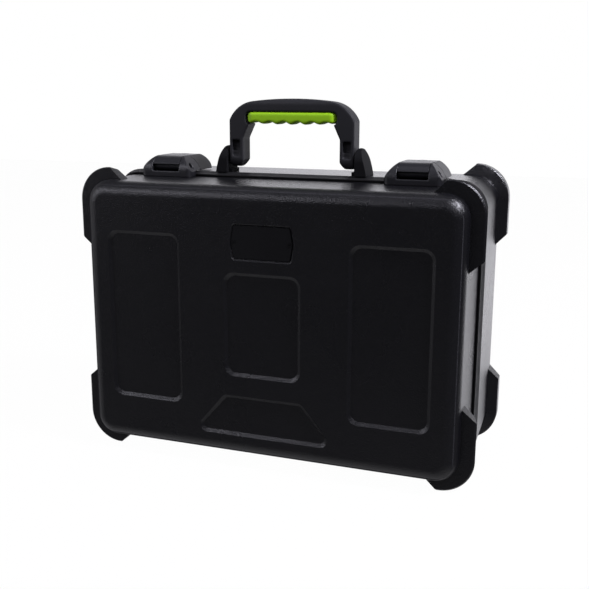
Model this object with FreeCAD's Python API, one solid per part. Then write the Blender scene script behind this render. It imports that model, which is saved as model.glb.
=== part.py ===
import FreeCAD, Part
import math
import os

os.makedirs("parts", exist_ok=True)

# Microphone case, standing upright on its four bottom bumpers. Millimetres.
# X runs to the right, Y from the lid at the front to the base at the back, Z up.
# The origin is on the ground, below the centre of the case.

# Whole case
lid_depth = 84.4
base_depth = 141.4
wall = 4.5
overrun = 1.0
seat_gap = 0.3
point_tolerance = 0.001
screw_clearance = 0.1
head_clearance = 0.25
running_clearance = 0.05

# Lid shell
lid_half_width = 229.0
lid_half_height = 161.3
lid_corner = 28.0
lid_draft = 1.8
lid_edge_round = 17.0

# Base shell
rim_overhang = 6.0
base_draft = 4.0
base_edge_round = 17.0

# Rim: channel of the base valance, tongue of the lid valance, gasket
valance_depth = 8.0
shadow_gap = 1.8
channel_depth = 5.0
lip_thickness = 3.0
tongue_thickness = 3.0
tongue_reach = 7.5
tongue_clearance = 1.0
gasket_thickness = 1.6
gasket_margin = 0.5
rib_count = 3
rib_pitch = 2.6
rib_step = 0.35
rib_lean = 0.65

# Corner bumpers
bumper_proud = 13.0
bumper_gap = 0.2
bumper_end_drop = 84.5
bumper_centre_inset = 25.5
bumper_edge_break = 1.6
lid_bumper_tip_inset = 39.6
lid_bumper_tip_share = 1.03
lid_bumper_end_share = 1.0
lid_bumper_side_share = 1.18
lid_bumper_front = 20.3
lid_bumper_crest = 13.0
lid_bumper_lean = 3.5
lid_bumper_ramp = 3.0
lid_bumper_root = 3.0
base_bumper_tip_inset = 43.5
base_bumper_tip_share = 1.17
base_bumper_end_share = 0.97
base_bumper_side_share = 0.957
base_bumper_proud = 16.2
base_bumper_back = 13.0
base_bumper_crest = 16.0
base_bumper_ramp = 3.0
base_bumper_fillet = 5.0
base_bumper_toe = 1.5
base_bumper_root = 1.0

# Sunken panels on the front
panel_depth = 2.0
panel_lip = 2.4
panel_corner = 13.0
side_panel_half_width = 47.2
side_panel_margin = 58.7
side_panel_share = 0.6533
side_panel_lift = 0.3
centre_panel_half_width = 46.9
centre_panel_margin = 99.5
centre_panel_lift = 0.6
foot_panel_half_width = 79.4
foot_panel_top_half_width = 48.0
foot_panel_height = 49.8
foot_panel_end_height = 12.0
foot_panel_lift = 26.6
foot_panel_corner = 8.0
label_half_width = 39.8
label_end_bulge = 3.8
label_height = 42.4
label_drop = 85.0
label_corner = 5.0
label_end_round = 30.0

# Badge plate in the label recess
badge_thickness = 1.4
badge_margin = 0.4
badge_screw_x = 33.5
badge_screw_radius = 1.1
badge_head_radius = 1.9
badge_head_height = 0.5
badge_screw_length = 3.8

# Bottom hinges
hinge_z = 4.0
hinge_setback = 0.5
hinge_share = 0.655
knuckle_radius = 2.9
hinge_pin_radius = 1.5
hinge_width = 54.0
knuckle_count = 5
knuckle_gap = 0.4
leaf_thickness = 1.6
lid_leaf_length = 26.0
base_leaf_length = 26.0
rivet_radius = 1.8
rivet_head_radius = 3.4
rivet_head_height = 1.0
rivet_spread = 17.0
rivet_setback = 9.0

# Handle
handle_half_width = 78.5
handle_reach = 70.5
handle_thickness = 24.0
handle_setback = 20.0
pivot_lift = 17.2
arm_width = 17.5
arm_below_pivot = 10.5
arm_end_round = 9.5
arm_end_chamfer = 5.0
arm_end_slope = 8.0
bar_height = 29.5
bar_crown = 3.2
bar_shoulder_width = 28.5
bar_shoulder_height = 22.0
bar_shoulder_flat = 0.63
bar_top_round = 7.0
bar_corner_width = 8.0
bar_corner_height = 17.0
arm_pocket_width = 9.5
arm_pocket_height = 19.0
arm_pocket_depth = 6.0
arm_pocket_lift = 2.5
arm_stop_height = 6.5
arm_stop_depth = 2.5
grip_margin = 21.0
grip_height = 15.0
grip_proud = 0.8
grip_drop = 0.7
grip_end_round = 6.0
grip_core = 9.0
grip_core_reach = 10.0
finger_count = 6
finger_margin = 5.0
finger_hollow = 2.8

# Handle brackets
bracket_gap = 2.0
bracket_foot_tuck = 3.0
bracket_foot_width = 19.5
bracket_top_width = 6.5
bracket_lift = 14.5
bracket_belly = 0.4
bracket_half_depth = 16.5
ledge_height = 4.2
ledge_half_depth = 10.0
ledge_slope_height = 4.5
pivot_pin_radius = 3.0
pivot_pin_inset = 2.5
pivot_pin_tail = 4.0
bracket_screw_radius = 2.2
bracket_screw_head_radius = 4.4
bracket_screw_head_height = 2.4
bracket_screw_bite = 9.0
bracket_screw_spread = 7.0

# Latches
latch_share = 0.6699
latch_half_width = 33.0
latch_top_half_width = 18.6
latch_height = 24.6
latch_side_height = 6.5
latch_shoulder_bulge = 1.2
latch_front_setback = 17.5
latch_back_reach = 50.0
latch_front_round = 19.0
latch_back_round = 11.0
latch_corner_round = 6.0
latch_split_radius = 20.4
latch_gap = 0.4
cheek_inner_half_width = 18.1
cheek_wall = 2.2
front_wall_height = 6.7
latch_pin_lift = 12.5
latch_pin_setback = 5.9
latch_pin_radius = 2.0
latch_pin_half_length = 24.5
latch_pin_recess_radius = 3.4
nose_radius = 5.5
lip_lift = 2.7
lever_roll_radius = 11.0
lever_wall = 3.0
lever_ground_gap = 0.8
latch_step_gap = 0.6
keeper_half_width = 12.0
keeper_plate = 2.4
keeper_length = 18.0
keeper_setback = 26.0
keeper_hook_height = 8.0
keeper_hook_thickness = 3.0
keeper_notch_gap = 1.6
latch_screw_radius = 1.7
latch_screw_head_radius = 3.2
latch_screw_head_height = 1.6
latch_screw_bite = 4.5
latch_screw_spread = 24.5
keeper_screw_spread = 7.0
keeper_screw_bite = 1.8

# Key locks
lock_setback = 34.0
lock_radius = 6.0
lock_proud = 0.3
lock_depth = 8.0
lock_boss_wall = 2.0
keyway_width = 1.4
keyway_length = 7.0
keyway_depth = 3.0
cam_thickness = 1.4
cam_width = 7.0
cam_length = 8.0

# Foam
foam_clearance = 1.5
foam_corner = 24.0
foam_pad_thickness = 12.0
insert_setback = 16.0
drop_size = 44.0
drop_columns = 5
drop_rows = 3
column_share = 0.18667
row_share = 0.2098
top_share = 0.09536
bay_share = 0.2225
bay_wall = 14.0
bay_side_wall = 18.0
lid_foam_thickness = 22.0

# Places that several pieces share
case_height = 2 * (lid_half_height + bumper_proud + bumper_gap)
mid_z = case_height / 2
front_y = -(lid_depth + base_depth) / 2
back_y = -front_y
parting_y = front_y + lid_depth
valance_front = parting_y + seat_gap
valance_back = valance_front + valance_depth
channel_floor = valance_front + channel_depth
lid_rim_y = channel_floor - gasket_thickness - seat_gap
hinge_y = parting_y - hinge_setback
lid_top = mid_z + lid_half_height
lid_bottom = mid_z - lid_half_height
base_half_height = lid_half_height + rim_overhang
base_bottom = mid_z - base_half_height
base_top = mid_z + base_half_height
top_lean = base_draft / (back_y - valance_back)
side_panel_half_height = lid_half_height - side_panel_margin
side_panel_x = lid_half_width * side_panel_share
side_panel_z = mid_z + side_panel_lift
centre_panel_half_height = lid_half_height - centre_panel_margin
centre_panel_z = mid_z + centre_panel_lift
foot_panel_z = lid_bottom + foot_panel_lift
label_z = lid_top - label_drop
hinge_spread = lid_half_width * hinge_share
hinge_xs = (-hinge_spread, 0, hinge_spread)
handle_y = parting_y + handle_setback
pivot_z = base_top + pivot_lift
handle_top = pivot_z + handle_reach
grip_half_length = handle_half_width - grip_margin
finger_run = grip_half_length - grip_end_round - finger_margin
finger_pitch = 2 * finger_run / finger_count
bracket_inner = handle_half_width + bracket_gap
bracket_foot_inner = handle_half_width - bracket_foot_tuck
bracket_foot_outer = bracket_foot_inner + bracket_foot_width
bracket_top_outer = bracket_inner + bracket_top_width
bracket_top = pivot_z + bracket_lift
latch_x = lid_half_width * latch_share
latch_pin_z = lid_top + latch_pin_lift


def vec(x, y, z):
    return FreeCAD.Vector(x, y, z)


def facing(y):
    """Places a drawn point (across, up) in the plane Y = y."""
    return lambda u, v: vec(u, y, v)


def sideways(x):
    """Places a drawn point (into the depth, up) in the plane X = x."""
    return lambda u, v: vec(x, u, v)


def level(z):
    """Places a drawn point (across, into the depth) in the plane Z = z."""
    return lambda u, v: vec(u, v, z)


def outline(steps, place):
    """A closed wire: (u, v) is a straight step, (um, vm, u, v) an arc through (um, vm)."""
    start = steps[0]
    here = place(start[0], start[1])
    edges = []
    for step in steps[1:] + [start[:2]]:
        there = place(step[-2], step[-1])
        if here.distanceToPoint(there) > point_tolerance:
            if len(step) == 4:
                edges.append(Part.Arc(here, place(step[0], step[1]), there).toShape())
            else:
                edges.append(Part.LineSegment(here, there).toShape())
        here = there
    return Part.Wire(edges)


def prism(steps, place, along):
    return Part.Face(outline(steps, place)).extrude(along)


def solid(shape):
    """One clean solid from the result of a cut or a fusion."""
    joined = shape.removeSplitter()
    return joined.Solids[0] if len(joined.Solids) == 1 else joined


def block(x0, x1, y0, y1, z0, z1):
    return Part.makeBox(x1 - x0, y1 - y0, z1 - z0, vec(x0, y0, z0))


def rod(radius, start, along):
    return Part.makeCylinder(radius, along.Length, start, along)


def grown(corners, growth):
    """The corners of a convex outline, drawn anticlockwise, with each side moved outwards."""
    count = len(corners)
    sides = []
    for i in range(count):
        (u0, v0), (u1, v1) = corners[i], corners[(i + 1) % count]
        length = math.hypot(u1 - u0, v1 - v0)
        du, dv = (u1 - u0) / length, (v1 - v0) / length
        sides.append((u0 + dv * growth, v0 - du * growth, du, dv))
    moved = []
    for i in range(count):
        u0, v0, du0, dv0 = sides[i - 1]
        u1, v1, du1, dv1 = sides[i]
        cross = du0 * dv1 - dv0 * du1
        reach = ((u1 - u0) * dv1 - (v1 - v0) * du1) / cross
        moved.append((u0 + du0 * reach, v0 + dv0 * reach))
    return moved


def rounded(corners, radii, growth=0):
    """Steps round a convex outline with an arc at each corner, all moved outwards by growth."""
    points = grown(corners, growth)
    count = len(points)
    steps = []
    for i in range(count):
        (up, vp), (u, v), (un, vn) = points[i - 1], points[i], points[(i + 1) % count]
        radius = radii[i] + growth
        into = math.atan2(v - vp, u - up)
        out = math.atan2(vn - v, un - u)
        turn = math.remainder(out - into, math.tau)
        back = radius * math.tan(turn / 2)
        start = (u - back * math.cos(into), v - back * math.sin(into))
        end = (u + back * math.cos(out), v + back * math.sin(out))
        middle = into + turn / 2
        sag = radius / math.cos(turn / 2) - radius
        steps.append(start)
        steps.append((u - sag * math.sin(middle), v + sag * math.cos(middle)) + end)
    return steps


def box_corners(half_width, half_height, u=0, v=0):
    return [
        (u - half_width, v - half_height),
        (u + half_width, v - half_height),
        (u + half_width, v + half_height),
        (u - half_width, v + half_height),
    ]


def case_loop(offset, y):
    """The lid's outline at the parting, moved outwards by an offset, in the plane Y = y."""
    corners = box_corners(lid_half_width, lid_half_height, 0, mid_z)
    return outline(rounded(corners, [lid_corner] * len(corners), offset), facing(y))


def case_body(offset0, y0, offset1, y1):
    return Part.makeLoft([case_loop(offset0, y0), case_loop(offset1, y1)], True, True)


def rounded_end(shape, y, radius):
    """Rounds the edges of the flat end that lies in the plane Y = y."""
    ends = [f for f in shape.Faces if abs(f.CenterOfMass.y - y) < seat_gap and len(f.Edges) > 4]
    flat = [f for f in ends if f.BoundBox.YLength < seat_gap]
    return shape.makeFillet(radius, flat[0].Edges)


def case_ring(outer, inner, y0, y1):
    return case_body(outer, y0, outer, y1).cut(
        case_body(inner, y0 - overrun, inner, y1 + overrun)
    )


def all_corners(shape):
    """A corner piece and its mirror images in the four corners of the case."""
    beside = [shape, shape.mirror(vec(0, 0, 0), vec(1, 0, 0))]
    return beside + [s.mirror(vec(0, 0, mid_z), vec(0, 0, 1)) for s in beside]


def bumper_loop(proud, root, y, tip_inset, shares):
    """A bumper's section in the top right corner: an L that follows the shell's corner."""
    tip_share, end_share, side_share = shares
    u0 = lid_half_width
    v0 = lid_top + bumper_gap
    centre_u = u0 - bumper_centre_inset
    centre_v = v0 - bumper_centre_inset
    diagonal = math.sqrt(0.5)

    def tip(p):
        return (u0 - tip_inset + p * tip_share, v0 + p)

    def end(p):
        return (u0 + p * side_share, v0 - bumper_end_drop + p * end_share)

    def corner(p):
        side = bumper_centre_inset + p * side_share
        return (centre_u + side * diagonal, centre_v + (bumper_centre_inset + p) * diagonal)

    steps = [
        tip(proud),
        (centre_u, v0 + proud),
        corner(proud) + (u0 + proud * side_share, centre_v),
        end(proud),
        end(-root),
        (u0 - root * side_share, centre_v),
        corner(-root) + (centre_u, v0 - root),
        tip(-root),
    ]
    return outline(steps, facing(y))


def bumper(stations, root, tip_inset, shares):
    loops = [bumper_loop(proud, root, y, tip_inset, shares) for y, proud in stations]
    return Part.makeLoft(loops, True, True)


def sunk(corners, radii):
    """The cutter of a sunken panel: a tray with sloping sides."""
    slope = panel_lip / panel_depth
    outer = outline(rounded(corners, radii, overrun * slope), facing(front_y - overrun))
    inner = outline(rounded(corners, radii, -panel_lip), facing(front_y + panel_depth))
    return Part.makeLoft([outer, inner], True, True)


def label_corners():
    half = label_half_width - label_end_bulge
    middle = label_z + label_height / 2
    top = label_z + label_height
    return [
        (-half, label_z),
        (half, label_z),
        (label_half_width, middle),
        (half, top),
        (-half, top),
        (-label_half_width, middle),
    ]


def label_radii():
    ends = [label_corner, label_corner, label_end_round]
    return ends + ends


def front_panels():
    square = [panel_corner] * 4
    side = (side_panel_half_width, side_panel_half_height)
    cutters = [
        sunk(box_corners(*side, u, side_panel_z), square) for u in (-side_panel_x, side_panel_x)
    ]
    centre = box_corners(centre_panel_half_width, centre_panel_half_height, 0, centre_panel_z)
    cutters.append(sunk(centre, square))
    foot = [
        (-foot_panel_half_width, foot_panel_z),
        (foot_panel_half_width, foot_panel_z),
        (foot_panel_half_width, foot_panel_z + foot_panel_end_height),
        (foot_panel_top_half_width, foot_panel_z + foot_panel_height),
        (-foot_panel_top_half_width, foot_panel_z + foot_panel_height),
        (-foot_panel_half_width, foot_panel_z + foot_panel_end_height),
    ]
    cutters.append(sunk(foot, [foot_panel_corner] * len(foot)))
    cutters.append(sunk(label_corners(), label_radii()))
    return cutters


def lid_cavity():
    hollow = case_body(-wall, lid_rim_y, -wall - lid_draft, front_y + wall)
    return rounded_end(hollow, front_y + wall, lid_edge_round - wall)


def lid_shell():
    outer = case_body(0, lid_rim_y, -lid_draft, front_y)
    outer = rounded_end(outer, front_y, lid_edge_round)
    start = front_y + lid_bumper_front
    crest = start + lid_bumper_crest
    stations = [
        (start, bumper_proud - bumper_edge_break),
        (start + bumper_edge_break, bumper_proud),
        (crest, bumper_proud - lid_bumper_lean),
        (crest + lid_bumper_ramp, 0),
    ]
    shares = (lid_bumper_tip_share, lid_bumper_end_share, lid_bumper_side_share)
    corner = bumper(stations, lid_bumper_root, lid_bumper_tip_inset, shares)
    body = outer.multiFuse(all_corners(corner))
    body = body.cut(lid_cavity()).cut(front_panels() + lid_holes())
    return solid(body)


def base_outer():
    outer = case_body(rim_overhang, valance_back, rim_overhang - base_draft, back_y)
    return rounded_end(outer, back_y, base_edge_round)


def base_and_rim():
    return base_outer().fuse(case_body(rim_overhang, valance_front, rim_overhang, valance_back))


def base_cavity():
    inner = rim_overhang - wall
    hollow = case_body(inner, valance_back, inner - base_draft, back_y - wall)
    return rounded_end(hollow, back_y - wall, base_edge_round - wall)


def base_shell():
    end = back_y - base_bumper_back
    crest = end - base_bumper_crest
    flush = rim_overhang - base_draft
    proud = base_bumper_proud
    stations = [
        (crest - base_bumper_ramp - base_bumper_fillet, flush),
        (crest - base_bumper_ramp, flush + base_bumper_toe),
        (crest, proud - bumper_edge_break),
        (crest + bumper_edge_break, proud),
        (end - bumper_edge_break, proud),
        (end, proud - bumper_edge_break),
    ]
    shares = (base_bumper_tip_share, base_bumper_end_share, base_bumper_side_share)
    corner = bumper(stations, -base_bumper_root, base_bumper_tip_inset, shares)
    body = base_outer().multiFuse(all_corners(corner))
    reach = lid_half_width + 2 * proud
    body = body.cut(block(-reach, reach, 0, back_y, -proud, 0))
    body = body.cut(base_cavity()).cut(base_holes())
    return solid(body)


def base_valance():
    """The rim's channel; its outer face falls away in leaning steps, which show as ribs."""
    ring = case_ring(rim_overhang, -channel_inner(), valance_front, valance_back)
    inner_wall = lip_thickness - channel_inner()
    channel = case_ring(shadow_gap, inner_wall, valance_front - overrun, channel_floor)
    ring = ring.cut(channel)
    for turn in range(rib_count):
        back = valance_back - turn * rib_pitch
        high = rim_overhang - turn * (rib_step + rib_lean) - rib_step
        low = high - rib_lean
        front = back - rib_pitch
        if turn == rib_count - 1:
            front = valance_front - overrun
        around = case_body(rim_overhang + overrun, front, rim_overhang + overrun, back)
        ring = ring.cut(around.cut(case_body(low, front, high, back)))
    return solid(ring)


def channel_inner():
    """How far the channel's inner lip lies inside the lid's outline."""
    return wall + tongue_thickness + tongue_clearance + lip_thickness


def lid_valance():
    ring = case_ring(overrun, -wall - tongue_thickness, lid_rim_y - tongue_reach, lid_rim_y)
    return solid(ring.common(lid_cavity()))


def gasket():
    outer = shadow_gap - gasket_margin
    inner = lip_thickness - channel_inner() + gasket_margin
    return solid(case_ring(outer, inner, channel_floor - gasket_thickness, channel_floor))


def badge_plate():
    y = front_y + panel_depth
    steps = rounded(label_corners(), label_radii(), -panel_lip - badge_margin)
    plate = prism(steps, facing(y), vec(0, -badge_thickness, 0))
    return solid(plate.cut([badge_hole(side) for side in (-1, 1)]))


def badge_hole(side):
    start = vec(side * badge_screw_x, front_y - overrun, label_z + label_height / 2)
    depth = overrun + panel_depth + badge_screw_length
    return rod(badge_screw_radius + screw_clearance, start, vec(0, depth, 0))


def badge_screws():
    face = front_y + panel_depth - badge_thickness
    screws = []
    for side in (-1, 1):
        x = side * badge_screw_x
        z = label_z + label_height / 2
        shank = rod(badge_screw_radius, vec(x, face, z), vec(0, badge_screw_length, 0))
        head = rod(badge_head_radius, vec(x, face, z), vec(0, -badge_head_height, 0))
        screws.append(solid(shank.fuse(head)))
    return screws


def hinge_spans(centre):
    """The knuckles of a hinge, as (start, end) along X."""
    pitch = hinge_width / knuckle_count
    left = centre - hinge_width / 2
    return [
        (left + i * pitch + knuckle_gap / 2, left + (i + 1) * pitch - knuckle_gap / 2)
        for i in range(knuckle_count)
    ]


def knuckle(x0, x1):
    return rod(knuckle_radius, vec(x0, hinge_y, hinge_z), vec(x1 - x0, 0, 0))


def leaf_bore(centre):
    radius = hinge_pin_radius + running_clearance
    start = vec(centre - hinge_width / 2 - overrun, hinge_y, hinge_z)
    return rod(radius, start, vec(hinge_width + 2 * overrun, 0, 0))


def hinge_leaf(centre, lid_side):
    """One leaf: a plate under its shell, turned down to its knuckles on the pin."""
    spans = hinge_spans(centre)
    mine = spans[1::2] if lid_side else spans[0::2]
    away = -1 if lid_side else 1
    length = lid_leaf_length if lid_side else base_leaf_length
    shell_bottom = lid_bottom if lid_side else base_bottom
    under = shell_bottom - leaf_thickness
    clear_y = hinge_y + away * (knuckle_radius + knuckle_gap)
    far_y = clear_y + away * length
    ys = sorted((clear_y, far_y))
    left = centre - hinge_width / 2
    right = centre + hinge_width / 2
    plate = block(left, right, ys[0], ys[1], under, shell_bottom + base_draft)
    pieces = [plate]
    for x0, x1 in mine:
        web = [
            (hinge_y, hinge_z - knuckle_radius),
            (clear_y + away * leaf_thickness, hinge_z - knuckle_radius),
            (clear_y + away * leaf_thickness, shell_bottom),
            (clear_y, shell_bottom),
            (clear_y, hinge_z),
            (hinge_y, hinge_z),
        ]
        pieces.append(prism(web, sideways(x0), vec(x1 - x0, 0, 0)))
        pieces.append(knuckle(x0, x1))
    leaf = pieces[0].multiFuse(pieces[1:]).cut(leaf_bore(centre))
    shell = lid_outer_plain() if lid_side else base_and_rim()
    leaf = leaf.cut(shell)
    holes = [rivet_hole(x, y) for x, y in rivet_places(centre, lid_side)]
    return solid(leaf.cut(holes))


def lid_outer_plain():
    return case_body(0, lid_rim_y, -lid_draft, front_y)


def rivet_places(centre, lid_side):
    away = -1 if lid_side else 1
    y = hinge_y + away * (knuckle_radius + knuckle_gap + leaf_thickness + rivet_setback)
    return [(centre + side * rivet_spread, y) for side in (-1, 1)]


def rivet_hole(x, y):
    start = vec(x, y, 0)
    depth = base_bottom + rim_overhang + wall + overrun + base_draft
    return rod(rivet_radius + screw_clearance, start, vec(0, 0, depth))


def shell_floor(y, lid_side):
    """The height of the shell's underside at depth y."""
    if lid_side:
        share = (lid_rim_y - y) / (lid_rim_y - front_y)
        return lid_bottom + share * lid_draft
    return base_bottom + (y - valance_back) * top_lean


def rivets(lid_side):
    made = []
    under = (lid_bottom if lid_side else base_bottom) - leaf_thickness
    for centre in hinge_xs:
        for x, y in rivet_places(centre, lid_side):
            inside = shell_floor(y, lid_side) + wall + head_clearance
            shank = rod(rivet_radius, vec(x, y, under), vec(0, 0, inside - under))
            foot = rod(rivet_head_radius, vec(x, y, under), vec(0, 0, -rivet_head_height))
            cap = rod(rivet_head_radius, vec(x, y, inside), vec(0, 0, rivet_head_height))
            made.append(solid(shank.multiFuse([foot, cap])))
    return made


def hinge_pins():
    pins = []
    for centre in hinge_xs:
        left = centre - hinge_width / 2
        pins.append(rod(hinge_pin_radius, vec(left, hinge_y, hinge_z), vec(hinge_width, 0, 0)))
    return pins


def handle_outline():
    """The handle seen from the front: two arms and a crowned bar with cut inner corners."""
    out = handle_half_width
    inn = out - arm_width
    foot = pivot_z - arm_below_pivot
    top = handle_top
    under = top - bar_height
    shoulder_u = out - bar_shoulder_width
    shoulder_v = top - bar_crown
    bend_v = shoulder_v - bar_shoulder_height
    arc_u = shoulder_u + bar_shoulder_width * bar_shoulder_flat
    arc_v = bend_v + bar_shoulder_height * bar_shoulder_flat
    cut = arm_end_chamfer
    return [
        (out, foot + cut / 2),
        (out, bend_v),
        (arc_u, arc_v, shoulder_u, shoulder_v),
        (0, top, -shoulder_u, shoulder_v),
        (-arc_u, arc_v, -out, bend_v),
        (-out, foot + cut / 2),
        (-out + cut / 2, foot),
        (-inn - cut, foot),
        (-inn, foot + arm_end_slope),
        (-inn, under - bar_corner_height),
        (-inn + bar_corner_width, under),
        (inn - bar_corner_width, under),
        (inn, under - bar_corner_height),
        (inn, foot + arm_end_slope),
        (inn + cut, foot),
        (out - cut / 2, foot),
    ]


def handle_side():
    """The handle seen from the side: rounded at the top and round the pivot."""
    half = handle_thickness / 2
    middle = (handle_top + pivot_z - arm_below_pivot) / 2
    reach = (handle_top - pivot_z + arm_below_pivot) / 2
    radii = [arm_end_round, arm_end_round, bar_top_round, bar_top_round]
    return rounded(box_corners(half, reach, handle_y, middle), radii)


def grip_outline():
    """The grip seen from the front: straight on top, with finger hollows underneath."""
    low = handle_top - bar_height - grip_drop
    high = low + grip_height
    end = grip_half_length
    steps = [(-end + grip_end_round, low), (-finger_run, low)]
    for i in range(finger_count):
        left = i * finger_pitch - finger_run
        steps.append((left + finger_pitch / 2, low + finger_hollow, left + finger_pitch, low))
    steps.append((end - grip_end_round, low))
    turn = grip_end_round * (1 - math.sqrt(0.5))
    steps.append((end - turn, low + turn, end, low + grip_end_round))
    steps.append((end, high - grip_end_round))
    steps.append((end - turn, high - turn, end - grip_end_round, high))
    steps.append((-end + grip_end_round, high))
    steps.append((-end + turn, high - turn, -end, high - grip_end_round))
    steps.append((-end, low + grip_end_round))
    steps.append((-end + turn, low + turn, -end + grip_end_round, low))
    return steps


def grip_body(growth):
    half = handle_thickness / 2 + growth
    return prism(grip_outline(), facing(handle_y - half), vec(0, 2 * half, 0))


def grip_tongue():
    """The rib of the handle bar that the grip is moulded round."""
    low = handle_top - bar_height - grip_drop + grip_height - grip_core_reach
    half = grip_half_length - grip_end_round
    core = grip_core / 2
    return block(-half, half, handle_y - core, handle_y + core, low, handle_top - bar_top_round)


def handle_grip():
    return solid(grip_body(grip_proud).cut(grip_tongue()))


def handle_frame():
    half = handle_thickness / 2
    face = prism(handle_outline(), facing(handle_y - half), vec(0, handle_thickness, 0))
    side = prism(
        handle_side(), sideways(-handle_half_width), vec(2 * handle_half_width, 0, 0)
    )
    frame = face.common(side)
    low = handle_top - bar_height - grip_drop
    end = grip_half_length - grip_end_round
    under = block(-end, end, front_of_handle(), back_of_handle(), low, low + grip_end_round)
    frame = frame.cut(grip_body(overrun).fuse(under).cut(grip_tongue()))
    centre = handle_half_width - arm_width / 2
    front = handle_y - half
    cuts = []
    for mirror in (-1, 1):
        x = mirror * centre
        x0, x1 = x - arm_pocket_width / 2, x + arm_pocket_width / 2
        low = pivot_z + arm_pocket_lift
        high = low + arm_pocket_height
        deep = front + arm_pocket_depth
        cuts.append(block(x0, x1, front - overrun, deep, low + arm_stop_height, high))
        shallow = front + arm_stop_depth
        cuts.append(block(x0, x1, front - overrun, shallow, low, low + arm_stop_height))
        ends = sorted((mirror * (handle_half_width + overrun), mirror * pin_inner_end()))
        start = vec(ends[0], handle_y, pivot_z)
        cuts.append(rod(pivot_pin_radius + running_clearance, start, vec(ends[1] - ends[0], 0, 0)))
    return solid(frame.cut(cuts))


def front_of_handle():
    return handle_y - handle_thickness / 2 - overrun


def back_of_handle():
    return handle_y + handle_thickness / 2 + overrun


def pin_inner_end():
    return handle_half_width - arm_width + pivot_pin_inset


def bracket(side):
    """A fin beside the handle's arm, with a foot that reaches in under the arm."""
    ground = base_top - rim_overhang
    centre_v = bracket_top - bracket_half_depth
    ledge = base_top + ledge_height
    mid_u = (bracket_foot_outer + bracket_top_outer) / 2 + bracket_belly
    mid_v = (base_top + bracket_top) / 2
    crown = (bracket_top_outer - bracket_inner) / 2
    face = [
        (bracket_foot_inner, ground),
        (bracket_foot_outer, ground),
        (bracket_foot_outer, base_top),
        (mid_u, mid_v, bracket_top_outer, bracket_top - crown),
        (bracket_inner + crown, bracket_top, bracket_inner, bracket_top - crown),
        (bracket_inner, ledge + ledge_slope_height),
        (handle_half_width + seat_gap, ledge),
        (bracket_foot_inner, ledge),
    ]
    depth = vec(0, 2 * bracket_half_depth, 0)
    fin = prism(face, facing(handle_y - bracket_half_depth), depth)
    half = bracket_half_depth
    lug = [
        (handle_y - half, ground),
        (handle_y + half, ground),
        (handle_y + half, centre_v),
        (handle_y, bracket_top, handle_y - half, centre_v),
    ]
    width = bracket_foot_outer - bracket_foot_inner
    fin = fin.common(prism(lug, sideways(bracket_foot_inner), vec(width, 0, 0)))
    for end in (-1, 1):
        ys = sorted((handle_y + end * ledge_half_depth, handle_y + end * (half + overrun)))
        low = ground - overrun
        fin = fin.cut(block(bracket_foot_inner - overrun, bracket_inner, *ys, low, bracket_top))
    fin = fin.cut(base_and_rim())
    fin = fin.cut(pivot_pin(1))
    for x, y in bracket_screw_places(1):
        radius = bracket_screw_radius + screw_clearance
        fin = fin.cut(rod(radius, vec(x, y, ground), vec(0, 0, screw_top() - ground)))
    fin = solid(fin)
    return fin if side > 0 else fin.mirror(vec(0, 0, 0), vec(1, 0, 0))


def pivot_pin(side):
    outer = bracket_inner + pivot_pin_tail
    ends = sorted((side * outer, side * (pin_inner_end() + seat_gap)))
    return rod(pivot_pin_radius, vec(ends[0], handle_y, pivot_z), vec(ends[1] - ends[0], 0, 0))


def bracket_screw_places(side):
    x = side * (bracket_inner + bracket_foot_outer) / 2
    return [(x, handle_y - bracket_screw_spread), (x, handle_y + bracket_screw_spread)]


def roof_inside(y):
    """The height of the underside of the base's top wall at depth y."""
    return base_top - (y - valance_back) * top_lean - wall


def screw_top():
    return base_top + bracket_screw_bite


def bracket_screws():
    made = []
    for side in (-1, 1):
        for x, y in bracket_screw_places(side):
            start = roof_inside(y) - head_clearance
            shank = rod(bracket_screw_radius, vec(x, y, start), vec(0, 0, screw_top() - start))
            head = rod(
                bracket_screw_head_radius, vec(x, y, start), vec(0, 0, -bracket_screw_head_height)
            )
            made.append(solid(shank.fuse(head)))
    return made


# Latches: the hood is one form, split into the fixed body with its cheeks and the lever

latch_front = parting_y - latch_front_setback
latch_back = parting_y + latch_back_reach
latch_top = lid_top + latch_height
latch_pin_y = parting_y - latch_pin_setback
step_height = base_top + latch_step_gap


def latch_face(shrink):
    """The latch seen from the front, with sloping shoulders, drawn about its own middle."""
    half = latch_half_width - shrink
    top_half = latch_top_half_width - shrink / 2
    low = lid_top - rim_overhang
    side = lid_top + latch_side_height
    top = latch_top - shrink
    mid_u = (half + top_half) / 2 + latch_shoulder_bulge
    mid_v = (side + top) / 2 + latch_shoulder_bulge / 2
    return [
        (latch_x - half, low),
        (latch_x + half, low),
        (latch_x + half, side),
        (latch_x + mid_u, mid_v, latch_x + top_half, top),
        (latch_x - top_half, top),
        (latch_x - mid_u, mid_v, latch_x - half, side),
    ]


def latch_hood(shrink):
    """The whole hood, shrunk by a wall for its hollow."""
    y0 = latch_front + shrink
    y1 = latch_back - shrink
    face = prism(latch_face(shrink), facing(y0), vec(0, y1 - y0, 0))
    turn = 1 - math.sqrt(0.5)
    front = latch_front_round
    back = latch_back_round
    low = lid_top - rim_overhang
    top = latch_top - shrink
    side = [
        (y0, low),
        (y1, low),
        (y1, top - back),
        (y1 - back * turn, top - back * turn, y1 - back, top),
        (y0 + front, top),
        (y0 + front * turn, top - front * turn, y0, top - front),
    ]
    left = latch_x - latch_half_width
    hood = face.common(prism(side, sideways(left), vec(2 * latch_half_width, 0, 0)))
    half = latch_half_width - shrink
    plan = box_corners(half, (y1 - y0) / 2, latch_x, (y0 + y1) / 2)
    radii = [latch_corner_round - shrink] * len(plan)
    return hood.common(prism(rounded(plan, radii), level(low), vec(0, 0, top - low)))


def latch_band(half, y0, y1, z0, z1):
    return block(latch_x - half, latch_x + half, y0, y1, z0, z1)


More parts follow.
